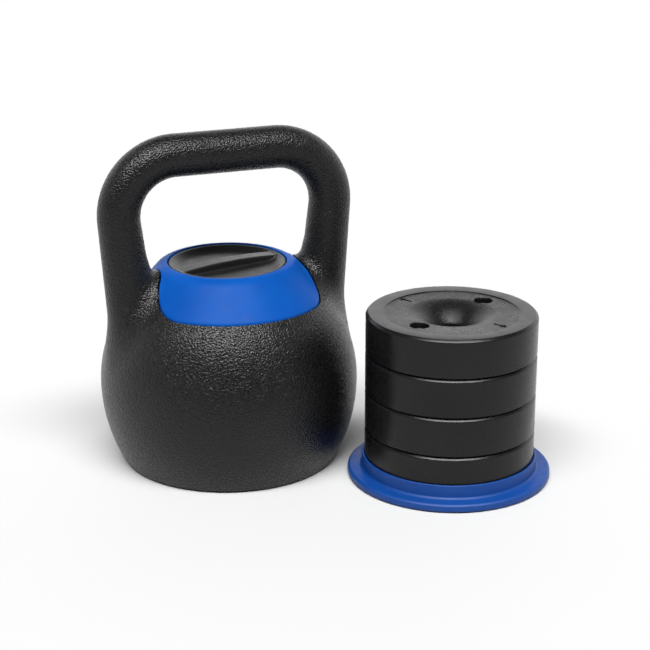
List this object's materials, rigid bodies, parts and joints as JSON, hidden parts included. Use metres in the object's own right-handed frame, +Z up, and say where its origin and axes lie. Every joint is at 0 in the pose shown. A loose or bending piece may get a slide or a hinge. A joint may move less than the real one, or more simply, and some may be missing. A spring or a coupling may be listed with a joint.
{
  "type": "adjustable kettlebell",
  "caption": "Hollow kettlebell with a round handle, top cover and locking dial, its stack of round weight plates standing beside it on a collared base.",
  "frame": {"origin": "centre of the whole set's bounding box, on the floor", "axes": "+Z up, +X along the bell's handle towards the weight set, +Y away from the side the set is stored on"},
  "size_m": [0.3478, 0.2992, 0.28],
  "materials": {
    "coated_iron": "textured semi-gloss powder coat",
    "blue_cover": "satin gloss",
    "blue_base": "satin",
    "plate_coat": "smooth satin",
    "dial_plastic": "fine satin",
    "black_plastic": "matte",
    "steel": "turned",
    "bronze": "turned",
    "pad_rubber": "matte"
  },
  "bodies": {
    "base": {"base_tray": "blue_base", "base_pad": "pad_rubber", "hub_socket": "steel", "hub_screws": "steel"},
    "bell": {"bell_casting": "coated_iron", "top_cover": "blue_cover", "cover_screws": "steel", "lock_housing": "black_plastic", "housing_screws": "steel", "spindle_bush": "bronze", "thrust_washer": "bronze"},
    "dial_and_spindle": {"dial": "dial_plastic", "dial_drive_plate": "steel", "dial_screws": "steel", "spindle": "steel", "spindle_clip": "steel", "cross_pin": "steel"},
    "plate_1": {"weight_plate_1": "plate_coat", "plate_pegs_1": "steel", "peg_screws_1": "steel"},
    "plate_2": {"weight_plate_2": "plate_coat", "plate_pegs_2": "steel", "peg_screws_2": "steel"},
    "plate_3": {"weight_plate_3": "plate_coat", "plate_pegs_3": "steel", "peg_screws_3": "steel"},
    "plate_4": {"weight_plate_4": "plate_coat", "plate_pegs_4": "steel", "peg_screws_4": "steel"}
  },
  "joints": [
    {"name": "bell_lift", "type": "slide", "parent": "base", "child": "bell", "axis": [0, 0, 1], "range_m": [0, 0.2]},
    {"name": "dial_turn", "type": "hinge", "parent": "bell", "child": "dial_and_spindle", "pos_m": [-0.0659, 0.04165, 0.165], "axis": [0, 0, 1], "range_deg": [-13, 77]},
    {"name": "plate_1_lift", "type": "slide", "parent": "base", "child": "plate_1", "axis": [0, 0, 1], "range_m": [0, 0.06]},
    {"name": "plate_2_lift", "type": "slide", "parent": "plate_1", "child": "plate_2", "axis": [0, 0, 1], "range_m": [0, 0.06]},
    {"name": "plate_3_lift", "type": "slide", "parent": "plate_2", "child": "plate_3", "axis": [0, 0, 1], "range_m": [0, 0.06]},
    {"name": "plate_4_lift", "type": "slide", "parent": "plate_3", "child": "plate_4", "axis": [0, 0, 1], "range_m": [0, 0.06]}
  ]
}
